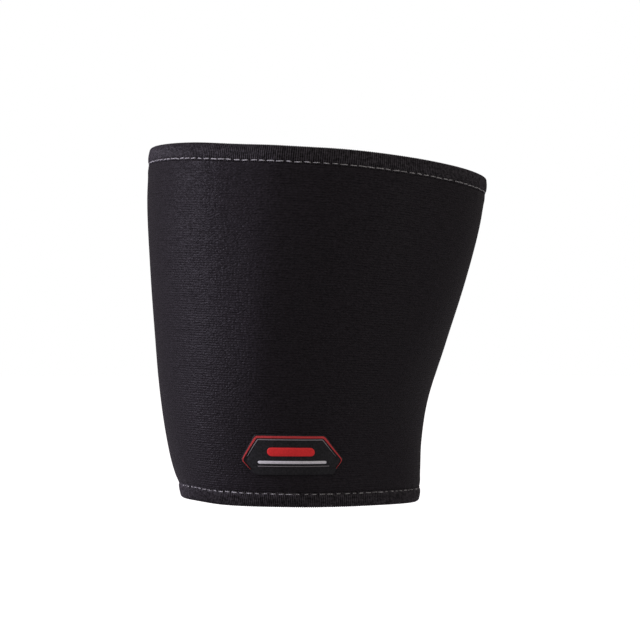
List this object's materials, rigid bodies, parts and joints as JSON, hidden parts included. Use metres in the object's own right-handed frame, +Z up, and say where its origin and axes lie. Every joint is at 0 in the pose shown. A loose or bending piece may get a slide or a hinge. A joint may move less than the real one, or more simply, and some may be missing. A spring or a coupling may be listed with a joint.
{
  "type": "thigh compression sleeve",
  "caption": "Tapered pull-on foam-cloth sleeve for the thigh, open at both ends, with folded binding tape round each hem and a small raised hexagonal badge on the front.",
  "frame": {"origin": "on the thigh's axis, halfway along the sleeve, where the thigh fills it", "axes": "+Z up the thigh from the knee end to the hip end, -Y out of the front where the badge is, +X towards the wearer's left"},
  "size_m": [0.2024, 0.1941, 0.2084],
  "materials": {
    "jersey": "black nylon jersey on foam, matt, fine crosswise rib",
    "tape": "black woven binding tape, matt, fine ribs across it",
    "thread": "pale grey twisted sewing thread",
    "black_rubber": "black moulded soft rubber, satin",
    "red_rubber": "red moulded soft rubber, satin",
    "pale_rubber": "pale grey moulded soft rubber, satin"
  },
  "bodies": {
    "root": {"sleeve_wall": "jersey", "top_binding": "tape", "bottom_binding": "tape", "badge_plate": "black_rubber", "badge_red_line": "red_rubber", "badge_red_bar": "red_rubber", "badge_pale_rule": "pale_rubber"}
  },
  "joints": []
}
